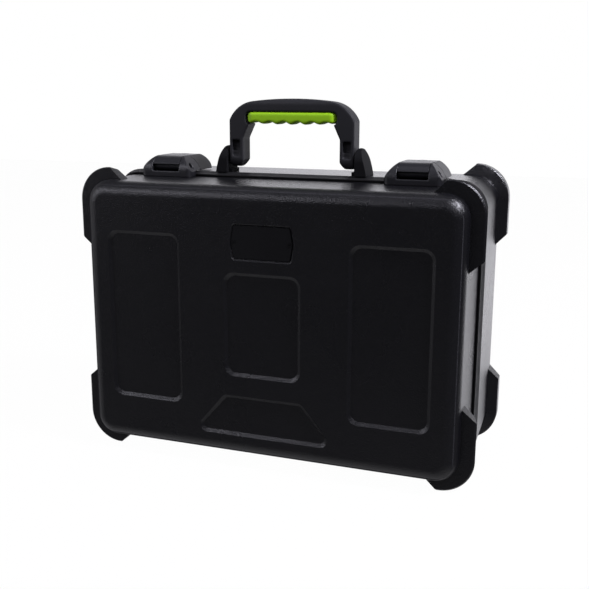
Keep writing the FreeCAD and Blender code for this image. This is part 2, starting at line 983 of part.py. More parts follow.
def latch_body():
    """The fixed half of a latch: two cheeks joined by a low front wall, on the lid."""
    low = lid_top - rim_overhang
    body = latch_hood(0).common(nose(latch_split_radius, latch_half_width))
    middle = cheek_inner_half_width
    front_wall = lid_top + front_wall_height
    inside = latch_front + cheek_wall
    body = body.cut(latch_band(middle, latch_front - overrun, latch_back, front_wall, latch_top))
    body = body.cut(latch_band(middle, inside, latch_back, low, latch_top))
    over = latch_half_width + overrun
    step = parting_y - seat_gap
    body = body.cut(latch_band(over, step, latch_back, low, step_height))
    body = body.cut(lid_outer_plain())
    body = body.cut(nose(lever_roll_radius, middle))
    start = latch_x - latch_half_width
    length = 2 * latch_half_width
    line = vec(start, latch_pin_y, latch_pin_z)
    body = body.cut(rod(latch_pin_radius, line, vec(length, 0, 0)))
    deep = latch_half_width - latch_pin_half_length
    for x in (start, start + length - deep):
        spot = vec(x, latch_pin_y, latch_pin_z)
        body = body.cut(rod(latch_pin_recess_radius, spot, vec(deep, 0, 0)))
    for x, y in latch_screw_places():
        radius = latch_screw_radius + screw_clearance
        body = body.cut(rod(radius, vec(x, y, low), vec(0, 0, latch_screw_top() - low)))
    return solid(body)


def nose(radius, half):
    """A roll about the latch's pin."""
    return rod(radius, vec(latch_x - half, latch_pin_y, latch_pin_z), vec(2 * half, 0, 0))


def latch_lever():
    """The moving half: a tongue between the cheeks that widens into a hood behind them."""
    low = lid_top - rim_overhang
    hood = latch_hood(0)
    half = cheek_inner_half_width - latch_gap
    ground = base_top + lever_ground_gap
    wide = hood.common(latch_band(latch_half_width, latch_pin_y, latch_back, ground, latch_top))
    wide = wide.cut(nose(latch_split_radius + latch_gap, latch_half_width + overrun))
    lip = latch_pin_z + lip_lift
    narrow = hood.common(latch_band(half, latch_front, latch_back, lip, latch_top))
    wide = wide.cut(latch_hood(lever_wall))
    inside = latch_pin_y + nose_radius * math.sqrt(0.5)
    under = latch_top - lever_wall
    narrow = narrow.cut(latch_band(half + overrun, inside, latch_back, low, under))
    lever = narrow.multiFuse([wide, nose(nose_radius, half)])
    notch = keeper_half_width + keeper_notch_gap
    clear = base_top + keeper_hook_height + keeper_notch_gap
    lever = lever.cut(latch_band(notch, latch_back - 2 * lever_wall, latch_back, low, clear))
    foot = lock_foot() + vec(0, 0, seat_gap)
    boss = rod(lock_radius + lock_boss_wall, foot, vec(0, 0, lock_depth - lock_proud))
    lever = lever.fuse(boss.common(hood))
    bore = rod(lock_radius + running_clearance, lock_foot(), vec(0, 0, lock_depth + overrun))
    pin_bore = nose(latch_pin_radius + running_clearance, half + overrun)
    return solid(lever.cut([bore, pin_bore]))


def lock_foot():
    return vec(latch_x, parting_y + lock_setback, latch_top + lock_proud - lock_depth)


def lock_cylinder():
    body = rod(lock_radius, lock_foot(), vec(0, 0, lock_depth))
    y = lock_foot().y
    half = keyway_length / 2
    top = lock_foot().z + lock_depth
    slit = keyway_width / 2
    keyway = block(
        latch_x - half, latch_x + half, y - slit, y + slit, top - keyway_depth, top + overrun
    )
    return solid(body.cut(keyway))


def lock_cam():
    foot = lock_foot()
    half = cam_width / 2
    top = foot.z
    low = top - cam_thickness
    hub = rod(half, vec(foot.x, foot.y, low), vec(0, 0, cam_thickness))
    arm = block(foot.x, foot.x + cam_length, foot.y - half, foot.y + half, low, top)
    return solid(hub.fuse(arm))


def latch_pin():
    start = vec(latch_x - latch_pin_half_length, latch_pin_y, latch_pin_z)
    return rod(latch_pin_radius, start, vec(2 * latch_pin_half_length, 0, 0))


def keeper():
    """The catch on the base that the lever closes over: a plate with an upright hook."""
    y0 = parting_y + keeper_setback
    y1 = y0 + keeper_length
    low = roof_inside(y1)
    top = base_top + keeper_plate
    plate = latch_band(keeper_half_width, y0, y1, low, top)
    hook_top = base_top + keeper_hook_height
    hook = latch_band(keeper_half_width, y1 - keeper_hook_thickness, y1, low, hook_top)
    lip_y = y1 - 2 * keeper_hook_thickness
    lip = latch_band(keeper_half_width, lip_y, y1, hook_top - keeper_plate, hook_top)
    body = plate.multiFuse([hook, lip]).cut(base_outer())
    for x, y in keeper_screw_places():
        radius = latch_screw_radius + screw_clearance
        body = body.cut(rod(radius, vec(x, y, low), vec(0, 0, keeper_screw_top() - low)))
    return solid(body)


def keeper_screw_places():
    y = parting_y + keeper_setback + keeper_screw_spread
    return [(latch_x - keeper_screw_spread, y), (latch_x + keeper_screw_spread, y)]


def keeper_screw_top():
    return base_top + keeper_screw_bite


def latch_screw_top():
    return lid_top + latch_screw_bite


def latch_screw_places():
    y = (latch_front + parting_y) / 2 - cheek_wall
    return [(latch_x - latch_screw_spread, y), (latch_x + latch_screw_spread, y)]


def lid_roof_inside(y):
    share = (lid_rim_y - y) / (lid_rim_y - front_y)
    return lid_top - share * lid_draft - wall


def upward_screw(x, y, start, top):
    shank = rod(latch_screw_radius, vec(x, y, start), vec(0, 0, top - start))
    head = rod(latch_screw_head_radius, vec(x, y, start), vec(0, 0, -latch_screw_head_height))
    return solid(shank.fuse(head))


def both_sides(pieces):
    return pieces + [p.mirror(vec(0, 0, 0), vec(1, 0, 0)) for p in pieces]


def latch_screws():
    made = []
    for x, y in latch_screw_places():
        start = lid_roof_inside(y) - head_clearance
        made.append(upward_screw(x, y, start, latch_screw_top()))
    return both_sides(made)


def keeper_screws():
    made = []
    for x, y in keeper_screw_places():
        start = roof_inside(y) - head_clearance
        made.append(upward_screw(x, y, start, keeper_screw_top()))
    return both_sides(made)


def drill_up(x, y, radius, low, top):
    return rod(radius + screw_clearance, vec(x, y, low), vec(0, 0, top - low))


def lid_holes():
    low = lid_top - 2 * wall
    cuts = [badge_hole(side) for side in (-1, 1)]
    for centre in hinge_xs:
        cuts += [rivet_hole(x, y) for x, y in rivet_places(centre, True)]
    ups = [drill_up(x, y, latch_screw_radius, low, latch_top) for x, y in latch_screw_places()]
    return cuts + both_sides(ups)


def base_holes():
    low = base_top - 3 * wall
    cuts = []
    for centre in hinge_xs:
        cuts += [rivet_hole(x, y) for x, y in rivet_places(centre, False)]
    for x, y in bracket_screw_places(1):
        cuts += both_sides([drill_up(x, y, bracket_screw_radius, low, screw_top())])
    for x, y in keeper_screw_places():
        cuts += both_sides([drill_up(x, y, latch_screw_radius, low, latch_top)])
    return cuts


# Foam: the insert is built up of long rails and short dividers, so each drop is a square well

foam_back = back_y - wall - seat_gap
pad_front = foam_back - foam_pad_thickness
insert_back = pad_front - seat_gap
insert_front = valance_back + insert_setback
foam_inset = rim_overhang - base_draft - wall - foam_clearance
foam_half_width = lid_half_width + foam_inset
foam_height = 2 * (lid_half_height + foam_inset)
column_pitch = 2 * foam_half_width * column_share
row_pitch = foam_height * row_share
top_margin = foam_height * top_share
bay_height = foam_height * bay_share


def foam_form(y0, y1):
    corners = box_corners(foam_half_width, foam_height / 2, 0, mid_z)
    steps = rounded(corners, [foam_corner] * len(corners))
    return prism(steps, facing(y0), vec(0, y1 - y0, 0))


def foam_pad():
    return solid(foam_form(pad_front, foam_back).common(base_cavity()))


def foam_levels():
    """The rails' heights as (low, high), from the top rail down."""
    top = lid_top + foam_inset
    bottom = lid_bottom - foam_inset
    levels = []
    high = top
    low = top - top_margin
    for _ in range(drop_rows):
        levels.append((low, high))
        high = low - drop_size
        low = high - (row_pitch - drop_size)
    bay_top = bottom + bay_wall + bay_height
    levels.append((bay_top, high))
    levels.append((bottom, bottom + bay_wall))
    return levels


def foam_rails():
    form = foam_form(insert_front, insert_back)
    half = foam_half_width
    return [
        solid(form.common(block(-half, half, insert_front, insert_back, low, high)))
        for low, high in foam_levels()
    ]


def foam_dividers():
    form = foam_form(insert_front, insert_back)
    half = foam_half_width
    levels = foam_levels()
    centres = [(i - (drop_columns - 1) / 2) * column_pitch for i in range(drop_columns)]
    lefts = [-half] + [x + drop_size / 2 for x in centres]
    rights = [x - drop_size / 2 for x in centres] + [half]
    made = []
    for row in range(drop_rows):
        low = levels[row + 1][1]
        high = levels[row][0]
        for x0, x1 in zip(lefts, rights):
            piece = block(x0, x1, insert_front, insert_back, low, high)
            made.append(solid(form.common(piece)))
    bay_low = levels[-1][1]
    bay_high = levels[-2][0]
    for x0, x1 in ((-half, -half + bay_side_wall), (half - bay_side_wall, half)):
        piece = block(x0, x1, insert_front, insert_back, bay_low, bay_high)
        made.append(solid(form.common(piece)))
    return made


def lid_foam():
    back = front_y + wall + seat_gap
    form = foam_form(back, back + lid_foam_thickness)
    return solid(form.common(lid_cavity()))


def save(name, pieces):
    pieces = pieces if isinstance(pieces, list) else [pieces]
    solids = [s for p in pieces for s in p.Solids]
    bad = [s for s in solids if not s.isValid() or s.Volume <= 0]
    shape = solids[0] if len(solids) == 1 else Part.makeCompound(solids)
    shape.exportStep("parts/" + name + ".step")
    box = shape.BoundBox
    print(
        name, len(solids), "solids", "BAD" if bad else "ok", round(shape.Volume),
        [round(v, 1) for v in (box.XMin, box.XMax, box.YMin, box.YMax, box.ZMin, box.ZMax)],
    )


def save_pair(name, shape):
    save(name + "_right", shape)
    save(name + "_left", shape.mirror(vec(0, 0, 0), vec(1, 0, 0)))


save("lid_shell", lid_shell())
save("base_shell", base_shell())
save("lid_valance", lid_valance())
save("base_valance", base_valance())
save("rim_gasket", gasket())
save("badge_plate", badge_plate())
save("badge_screws", badge_screws())
save("hinge_leaves_lid", [hinge_leaf(x, True) for x in hinge_xs])
save("hinge_leaves_base", [hinge_leaf(x, False) for x in hinge_xs])
save("hinge_pins", hinge_pins())
save("hinge_rivets_lid", rivets(True))
save("hinge_rivets_base", rivets(False))
save("handle_frame", handle_frame())
save("handle_grip", handle_grip())
save("handle_bracket_right", bracket(1))
save("handle_bracket_left", bracket(-1))
save("pivot_pin_right", pivot_pin(1))
save("pivot_pin_left", pivot_pin(-1))
save("bracket_screws", bracket_screws())
save_pair("latch_body", latch_body())
save_pair("latch_lever", latch_lever())
save_pair("latch_pin", latch_pin())
save_pair("latch_keeper", keeper())
save_pair("lock_cylinder", lock_cylinder())
save_pair("lock_cam", lock_cam())
save("latch_screws", latch_screws())
save("keeper_screws", keeper_screws())
save("foam_pad", foam_pad())
save("foam_rails", foam_rails())
save("foam_dividers", foam_dividers())
save("lid_foam", lid_foam())
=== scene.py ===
"""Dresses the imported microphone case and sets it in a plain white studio."""

import logging
import math
from dataclasses import dataclass
from enum import Enum
from typing import Callable, Iterable, Sequence

import bmesh
import bpy
from mathutils import Matrix, Vector


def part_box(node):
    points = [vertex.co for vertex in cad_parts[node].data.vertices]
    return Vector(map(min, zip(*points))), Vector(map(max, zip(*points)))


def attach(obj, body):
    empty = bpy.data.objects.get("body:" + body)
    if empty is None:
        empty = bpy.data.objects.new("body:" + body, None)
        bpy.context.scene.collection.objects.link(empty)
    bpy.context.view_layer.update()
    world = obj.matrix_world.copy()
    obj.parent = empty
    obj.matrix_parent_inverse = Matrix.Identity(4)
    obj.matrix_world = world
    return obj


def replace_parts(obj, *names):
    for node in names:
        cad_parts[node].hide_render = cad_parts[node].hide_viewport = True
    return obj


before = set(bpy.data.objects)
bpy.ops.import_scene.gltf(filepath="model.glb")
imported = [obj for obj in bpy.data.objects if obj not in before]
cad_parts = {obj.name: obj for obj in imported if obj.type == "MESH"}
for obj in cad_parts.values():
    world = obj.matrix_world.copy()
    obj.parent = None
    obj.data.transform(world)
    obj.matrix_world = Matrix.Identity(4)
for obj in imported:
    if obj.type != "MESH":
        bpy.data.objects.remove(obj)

LOG = logging.getLogger("microphone_case")
MM = 0.001
CASE_MIDDLE = 174.5 * MM


class Side(Enum):
    """The two halves of the case, as seen from the lid."""

    RIGHT = 1
    LEFT = -1

    @property
    def suffix(self) -> str:
        """The end of the names of this side's nodes."""
        return "right" if self is Side.RIGHT else "left"


class Corner(Enum):
    """The four corners of the case, as signs along X and Z."""

    TOP_RIGHT = (1, 1)
    TOP_LEFT = (-1, 1)
    FOOT_RIGHT = (1, -1)
    FOOT_LEFT = (-1, -1)


# Node trees


@dataclass(frozen=True)
class Ramp:
    """A smooth change of a value between two places.

    Attributes:
        start: Where it starts.
        end: Where it ends.
        low: The value before the start.
        high: The value past the end.
    """

    start: float
    end: float
    low: float = 0.0
    high: float = 1.0


class Graph:
    """A node tree that is wired by short calls."""

    def __init__(self, tree: bpy.types.NodeTree) -> None:
        """Takes the tree to wire."""
        self.tree = tree

    def node(self, kind: str, **settings: object) -> bpy.types.Node:
        """Adds a node and sets its properties.

        Args:
            kind: The node's type.
            settings: Properties to set on it.

        Returns:
            The new node.
        """
        made = self.tree.nodes.new(kind)
        for key, value in settings.items():
            setattr(made, key, value)
        return made

    def link(self, source: bpy.types.NodeSocket, target: bpy.types.NodeSocket) -> None:
        """Joins two sockets."""
        self.tree.links.new(source, target)

    def sum(self, kind: str, *values: bpy.types.NodeSocket | float) -> bpy.types.NodeSocket:
        """Adds a Math node.

        Args:
            kind: The operation.
            values: What it works on, each a socket or a number.

        Returns:
            The result's socket.
        """
        made = self.node("ShaderNodeMath", operation=kind)
        for socket, value in zip(made.inputs, values):
            if isinstance(value, bpy.types.NodeSocket):
                self.link(value, socket)
            else:
                socket.default_value = value
        return made.outputs[0]

    def ramp(self, ramp: Ramp, place: bpy.types.NodeSocket) -> bpy.types.NodeSocket:
        """Adds a smooth ramp.

        Args:
            ramp: Its places and values.
            place: The socket that runs along it.

        Returns:
            The result's socket.
        """
        made = self.node("ShaderNodeMapRange", interpolation_type="SMOOTHSTEP")
        made.inputs["From Min"].default_value = ramp.start
        made.inputs["From Max"].default_value = ramp.end
        made.inputs["To Min"].default_value = ramp.low
        made.inputs["To Max"].default_value = ramp.high
        self.link(place, made.inputs["Value"])
        return made.outputs["Result"]


@dataclass(frozen=True)
class GroupSocket:
    """A number or colour that a shader group takes."""

    name: str
    kind: str
    value: float


class ShaderGroup(Graph):
    """A named node group that several finishes share."""

    def __init__(self, name: str, inputs: Sequence[GroupSocket], outputs: Sequence[str]) -> None:
        """Makes the empty group.

        Args:
            name: The group's name.
            inputs: The sockets it takes.
            outputs: The names of the values it gives.
        """
        super().__init__(bpy.data.node_groups.new(name, "ShaderNodeTree"))
        for socket in inputs:
            made = self.tree.interface.new_socket(
                name=socket.name, in_out="INPUT", socket_type=socket.kind
            )
            made.default_value = socket.value
        for output in outputs:
            self.tree.interface.new_socket(
                name=output, in_out="OUTPUT", socket_type="NodeSocketFloat"
            )
        self.given = self.node("NodeGroupInput")
        self.result = self.node("NodeGroupOutput")
        self.place = self.node("ShaderNodeTexCoord")


PEBBLE_SMOOTHNESS = 0.6
FINE_PEBBLE_RATIO = 1.7
FINE_PEBBLE_SHARE = 0.6
PATCH_SCALE = 9.0
FOAM_PATCH_SCALE = 30.0
BRUSH_STRETCH = 0.02


def pebble_group() -> ShaderGroup:
    """Builds moulded pebble grain: rounded bumps of uneven size on Object coordinates.

    Returns:
        The group.
    """
    group = ShaderGroup(
        "PebbleGrain", [GroupSocket("Scale", "NodeSocketFloat", 700.0)], ["Height", "Patch"]
    )
    cells = group.node("ShaderNodeTexVoronoi", feature="SMOOTH_F1")
    cells.inputs["Smoothness"].default_value = PEBBLE_SMOOTHNESS
    cells.inputs["Randomness"].default_value = 1.0
    group.link(group.place.outputs["Object"], cells.inputs["Vector"])
    group.link(group.given.outputs["Scale"], cells.inputs["Scale"])
    fine = group.node("ShaderNodeTexNoise")
    fine.inputs["Detail"].default_value = 3.0
    fine.inputs["Roughness"].default_value = 0.6
    group.link(group.place.outputs["Object"], fine.inputs["Vector"])
    fine_scale = group.sum("MULTIPLY", group.given.outputs["Scale"], FINE_PEBBLE_RATIO)
    group.link(fine_scale, fine.inputs["Scale"])
    domes = group.sum("SUBTRACT", 1.0, cells.outputs["Distance"])
    grit = group.sum("MULTIPLY", fine.outputs["Fac"], FINE_PEBBLE_SHARE)
    group.link(group.sum("ADD", domes, grit), group.result.inputs["Height"])
    cloud = group.node("ShaderNodeTexNoise")
    cloud.inputs["Scale"].default_value = PATCH_SCALE
    cloud.inputs["Detail"].default_value = 4.0
    group.link(group.place.outputs["Object"], cloud.inputs["Vector"])
    group.link(cloud.outputs["Fac"], group.result.inputs["Patch"])
    return group


def brushed_group() -> ShaderGroup:
    """Builds fine lines along X, as on rolled or brushed metal.

    Returns:
        The group.
    """
    group = ShaderGroup(
        "BrushedLines", [GroupSocket("Scale", "NodeSocketFloat", 900.0)], ["Height", "Patch"]
    )
    stretch = group.node("ShaderNodeMapping")
    stretch.inputs["Scale"].default_value = (BRUSH_STRETCH, 1.0, 1.0)
    group.link(group.place.outputs["Object"], stretch.inputs["Vector"])
    lines = group.node("ShaderNodeTexNoise")
    lines.inputs["Detail"].default_value = 2.0
    group.link(stretch.outputs["Vector"], lines.inputs["Vector"])
    group.link(group.given.outputs["Scale"], lines.inputs["Scale"])
    group.link(lines.outputs["Fac"], group.result.inputs["Height"])
    group.link(lines.outputs["Fac"], group.result.inputs["Patch"])
    return group


def foam_group() -> ShaderGroup:
    """Builds open foam cells: small pits with soft rims.

    Returns:
        The group.
    """
    group = ShaderGroup(
        "FoamCells", [GroupSocket("Scale", "NodeSocketFloat", 900.0)], ["Height", "Patch"]
    )
    cells = group.node("ShaderNodeTexVoronoi", feature="F1")
    group.link(group.place.outputs["Object"], cells.inputs["Vector"])
    group.link(group.given.outputs["Scale"], cells.inputs["Scale"])
    group.link(cells.outputs["Distance"], group.result.inputs["Height"])
    cloud = group.node("ShaderNodeTexNoise")
    cloud.inputs["Scale"].default_value = FOAM_PATCH_SCALE
    group.link(group.place.outputs["Object"], cloud.inputs["Vector"])
    group.link(cloud.outputs["Fac"], group.result.inputs["Patch"])
    return group


# Finishes

GROUPS: dict[str, ShaderGroup] = {}


class Texture(Enum):
    """The surface effects a finish can have."""

    PEBBLE = "pebble"
    BRUSHED = "brushed"
    FOAM = "foam"

    def tree(self) -> bpy.types.NodeTree:
        """Finds this effect's node group, built once.

        Returns:
            The group's tree.
        """
        makers = {"pebble": pebble_group, "brushed": brushed_group, "foam": foam_group}
        if self.value not in GROUPS:
            GROUPS[self.value] = makers[self.value]()
        return GROUPS[self.value].tree


@dataclass(frozen=True)
class Finish:
    """One finish of the case: a Principled surface with its grain.

    Attributes:
        name: The material's name.
        colour: The base colour, linear.
        second: The colour it drifts to in patches.
        roughness: The middle roughness.
        drift: How far the roughness varies.
        texture: The surface effect.
        scale: The effect's cells per metre.
        relief: The effect's bump height in metres.
        metallic: 1 for bare metal.
        coat: The weight of a clear coat.
        sheen: The weight of the soft rim glow.
        specular: The specular level.
    """

    name: str
    colour: tuple[float, float, float]
    second: tuple[float, float, float]
    roughness: float
    drift: float = 0.06
    texture: Texture = Texture.PEBBLE
    scale: float = 700.0
    relief: float = 0.00012
    metallic: float = 0.0
    coat: float = 0.0
    sheen: float = 0.0
    specular: float = 0.5

    def material(self) -> bpy.types.Material:
        """This finish as a Blender material, made once.

        Returns:
            The material.
        """
        known = bpy.data.materials.get(self.name)
        if known:
            return known
        made = bpy.data.materials.new(self.name)
        made.use_nodes = True
        nodes, links = made.node_tree.nodes, made.node_tree.links
        surface = nodes["Principled BSDF"]
        surface.inputs["Metallic"].default_value = self.metallic
        surface.inputs["Coat Weight"].default_value = self.coat
        surface.inputs["Sheen Weight"].default_value = self.sheen
        surface.inputs["Specular IOR Level"].default_value = self.specular
        effect = nodes.new("ShaderNodeGroup")
        effect.node_tree = self.texture.tree()
        effect.inputs["Scale"].default_value = self.scale
        bump = nodes.new("ShaderNodeBump")
        bump.inputs["Strength"].default_value = 1.0
        bump.inputs["Distance"].default_value = self.relief
        links.new(effect.outputs["Height"], bump.inputs["Height"])
        links.new(bump.outputs["Normal"], surface.inputs["Normal"])
        tint = nodes.new("ShaderNodeMix")
        tint.data_type = "RGBA"
        tint.inputs["A"].default_value = (*self.colour, 1.0)
        tint.inputs["B"].default_value = (*self.second, 1.0)
        links.new(effect.outputs["Patch"], tint.inputs["Factor"])
        links.new(tint.outputs["Result"], surface.inputs["Base Color"])
        rough = nodes.new("ShaderNodeMapRange")
        rough.inputs["To Min"].default_value = self.roughness - self.drift
        rough.inputs["To Max"].default_value = self.roughness + self.drift
        links.new(effect.outputs["Patch"], rough.inputs["Value"])
        links.new(rough.outputs["Result"], surface.inputs["Roughness"])
        return made


SHELL = Finish(
    "moulded_shell", (0.0048, 0.0048, 0.0062), (0.0064, 0.0064, 0.0080), 0.28, drift=0.04,
    scale=780.0, relief=0.00027,
)
RIM = Finish("ribbed_rim", (0.012, 0.012, 0.013), (0.016, 0.016, 0.017), 0.38, relief=0.00003)
BADGE = Finish(
    "bare_badge", (0.0046, 0.0046, 0.0056), (0.0060, 0.0060, 0.0070), 0.46, specular=0.22
)
HANDLE = Finish(
    "satin_handle", (0.018, 0.018, 0.0205), (0.023, 0.023, 0.026), 0.52, scale=1500.0,
    relief=0.00004, specular=0.22,
)
BRACKET = Finish(
    "matt_bracket", (0.007, 0.007, 0.008), (0.010, 0.010, 0.011), 0.62, scale=1500.0,
    relief=0.00004, specular=0.07,
)
LATCH = Finish(
    "satin_latch", (0.0095, 0.0095, 0.0118), (0.013, 0.013, 0.0155), 0.36, scale=1100.0,
    relief=0.00010, specular=0.5,
)
GRIP = Finish(
    "green_grip", (0.30, 0.60, 0.004), (0.34, 0.66, 0.006), 0.52, scale=1600.0, relief=0.00003,
    sheen=0.04, specular=0.35,
)
SEAL = Finish("sealing_rubber", (0.012, 0.012, 0.012), (0.016, 0.016, 0.016), 0.6, relief=0.00002)
DARK_STEEL = Finish(
    "blackened_steel", (0.03, 0.03, 0.032), (0.045, 0.045, 0.048), 0.32,
    texture=Texture.BRUSHED, relief=0.00002, metallic=1.0,
)
HINGE_STEEL = Finish(
    "coated_steel", (0.02, 0.02, 0.022), (0.03, 0.03, 0.032), 0.38,
    texture=Texture.BRUSHED, relief=0.00002, coat=0.2,
)
KEEPER_STEEL = Finish(
    "pressed_steel", (0.42, 0.42, 0.44), (0.5, 0.5, 0.52), 0.3,
    texture=Texture.BRUSHED, relief=0.00003, metallic=1.0,
)
LOCK = Finish(
    "lacquered_lock", (0.02, 0.02, 0.022), (0.03, 0.03, 0.033), 0.28,
    texture=Texture.BRUSHED, relief=0.00001, coat=0.3,
)
FOAM = Finish(
    "open_cell_foam", (0.028, 0.028, 0.031), (0.038, 0.038, 0.042), 0.95,
    texture=Texture.FOAM, scale=900.0, relief=0.0005, specular=0.2,
)

NODE_FINISHES: dict[str, Finish] = {
    "lid_shell": SHELL,
    "base_shell": SHELL,
    "lid_valance": RIM,
    "base_valance": RIM,
    "rim_gasket": SEAL,
    "badge_plate": BADGE,
    "badge_screws": DARK_STEEL,
    "hinge_leaves_lid": HINGE_STEEL,
    "hinge_leaves_base": HINGE_STEEL,
    "hinge_pins": HINGE_STEEL,
    "hinge_rivets_lid": HINGE_STEEL,
    "hinge_rivets_base": HINGE_STEEL,
    "handle_frame": HANDLE,
    "handle_grip": GRIP,
    "handle_bracket_right": BRACKET,
    "handle_bracket_left": BRACKET,
    "pivot_pin_right": DARK_STEEL,
    "pivot_pin_left": DARK_STEEL,
    "bracket_screws": DARK_STEEL,
    "latch_body_right": LATCH,
    "latch_body_left": LATCH,
    "latch_lever_right": LATCH,
    "latch_lever_left": LATCH,
    "latch_pin_right": DARK_STEEL,
    "latch_pin_left": DARK_STEEL,
    "latch_keeper_right": KEEPER_STEEL,
    "latch_keeper_left": KEEPER_STEEL,
    "lock_cylinder_right": LOCK,
    "lock_cylinder_left": LOCK,
    "lock_cam_right": KEEPER_STEEL,
    "lock_cam_left": KEEPER_STEEL,
    "latch_screws": DARK_STEEL,
    "keeper_screws": DARK_STEEL,
    "foam_pad": FOAM,
    "foam_rails": FOAM,
    "foam_dividers": FOAM,
    "lid_foam": FOAM,
}


def dress_nodes() -> None:
    """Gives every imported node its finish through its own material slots."""
    for name, finish in NODE_FINISHES.items():
        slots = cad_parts[name].data.materials
        slots.clear()
        slots.append(finish.material())
        LOG.info("node %s: %s", name, finish.name)


# Moulded pieces

WELD = 0.01 * MM
FLAT_ANGLE = math.radians(0.5)
FLAT_WEIGHT = 80


@dataclass(frozen=True)
class Softening:
    """How the sharp edges of a moulded form are rounded.

    Attributes:
        width: How far the rounding reaches on each side of an edge.
        segments: The rounding's facets.
        sharper_than: The least angle between the faces, in degrees.
    """

    width: float
    segments: int = 3
    sharper_than: float = 38.0

    def edges(self, work: bmesh.types.BMesh) -> list[bmesh.types.BMEdge]:
        """Finds the edges to round.

        Args:
            work: The form.

        Returns:
            Its sharp edges.
        """
        limit = math.radians(self.sharper_than)
        return [
            edge
            for edge in work.edges
            if len(edge.link_faces) == 2 and edge.calc_face_angle(0.0) > limit
        ]

    def apply(self, work: bmesh.types.BMesh) -> None:
        """Rounds the edges of the form in place."""
        bmesh.ops.bevel(
            work, geom=self.edges(work), offset=self.width, offset_type="OFFSET",
            segments=self.segments, profile=0.5, affect="EDGES", clamp_overlap=True,
            material=-1,
        )


def welded_form(nodes: Iterable[str]) -> bmesh.types.BMesh:
    """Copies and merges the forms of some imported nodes.

    Args:
        nodes: The nodes' names.

    Returns:
        The copy, with its flat faces joined.
    """
    work = bmesh.new()
    for node in nodes:
        work.from_mesh(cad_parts[node].data)
    bmesh.ops.remove_doubles(work, verts=work.verts, dist=WELD)
    bmesh.ops.recalc_face_normals(work, faces=work.faces)
    bmesh.ops.dissolve_limit(
        work, angle_limit=FLAT_ANGLE, verts=work.verts, edges=work.edges, delimit=set()
    )
    return work


def placed(
    name: str, work: bmesh.types.BMesh, finish: Finish, body: str
) -> bpy.types.Object:
    """Makes a finished piece of a form.

    Args:
        name: The piece's name.
        work: The form, freed here.
        finish: The piece's finish.
        body: The body that it rides on.

    Returns:
        The piece.
    """
    mesh = bpy.data.meshes.new(name)
    work.to_mesh(mesh)
    work.free()
    mesh.shade_smooth()
    mesh.materials.append(finish.material())
    piece = bpy.data.objects.new(name, mesh)
    bpy.context.scene.collection.objects.link(piece)
    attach(piece, body)
    LOG.info("piece %s on %s: %d faces", name, body, len(mesh.polygons))
    return piece


def evened(piece: bpy.types.Object) -> bpy.types.Object:
    """Keeps a bevelled piece's flats flat under smooth shading.

    Args:
        piece: The piece.

    Returns:
        The same piece.
    """
    normals = piece.modifiers.new("even_flats", "WEIGHTED_NORMAL")
    normals.weight = FLAT_WEIGHT
    normals.keep_sharp = True
    return piece


def worn(piece: bpy.types.Object, voxel: float, rounds: int) -> None:
    """Gives a piece the modifiers that wear all its edges round.

    Args:
        piece: The piece.
        voxel: The cell of its even mesh.
        rounds: How often the mesh is smoothed.
    """
    even = piece.modifiers.new("even", "REMESH")
    even.mode = "VOXEL"
    even.voxel_size = voxel
    smooth = piece.modifiers.new("smooth", "SMOOTH")
    smooth.factor = 0.5
    smooth.iterations = rounds


def settled(piece: bpy.types.Object) -> bpy.types.Object:
    """Applies a piece's modifiers to its mesh.

    Args:
        piece: The piece.

    Returns:
        The same piece.
    """
    bpy.context.view_layer.update()
    shaped = piece.evaluated_get(bpy.context.evaluated_depsgraph_get())
    mesh = bpy.data.meshes.new_from_object(shaped)
    piece.modifiers.clear()
    piece.data = mesh
    mesh.shade_smooth()
    return piece


@dataclass(frozen=True)
class MouldedPart:
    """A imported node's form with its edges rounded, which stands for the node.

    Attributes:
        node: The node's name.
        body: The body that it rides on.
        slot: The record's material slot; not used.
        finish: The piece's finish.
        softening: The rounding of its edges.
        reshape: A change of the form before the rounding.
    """

    node: str
    body: str
    slot: str
    finish: Finish
    softening: Softening
    reshape: Callable[[bmesh.types.BMesh], None] = lambda work: None

    def build(self) -> bpy.types.Object:
        """Makes the piece.

        Returns:
            The piece, with its node hidden.
        """
        work = welded_form([self.node])
        self.reshape(work)
        self.softening.apply(work)
        piece = placed(f"{self.node}_moulded", work, self.finish, self.body)
        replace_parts(piece, self.node)
        return evened(piece)


@dataclass(frozen=True)
class SoftPart:
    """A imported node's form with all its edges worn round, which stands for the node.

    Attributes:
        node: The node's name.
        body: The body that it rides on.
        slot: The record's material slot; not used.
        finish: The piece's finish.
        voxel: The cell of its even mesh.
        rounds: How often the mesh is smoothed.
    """

    node: str
    body: str
    slot: str
    finish: Finish
    voxel: float
    rounds: int

    def build(self) -> bpy.types.Object:
        """Makes the piece.

        Returns:
            The piece, with its node hidden.
        """
        work = welded_form([self.node])
        piece = placed(f"{self.node}_soft", work, self.finish, self.body)
        worn(piece, self.voxel, self.rounds)
        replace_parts(settled(piece), self.node)
        return piece


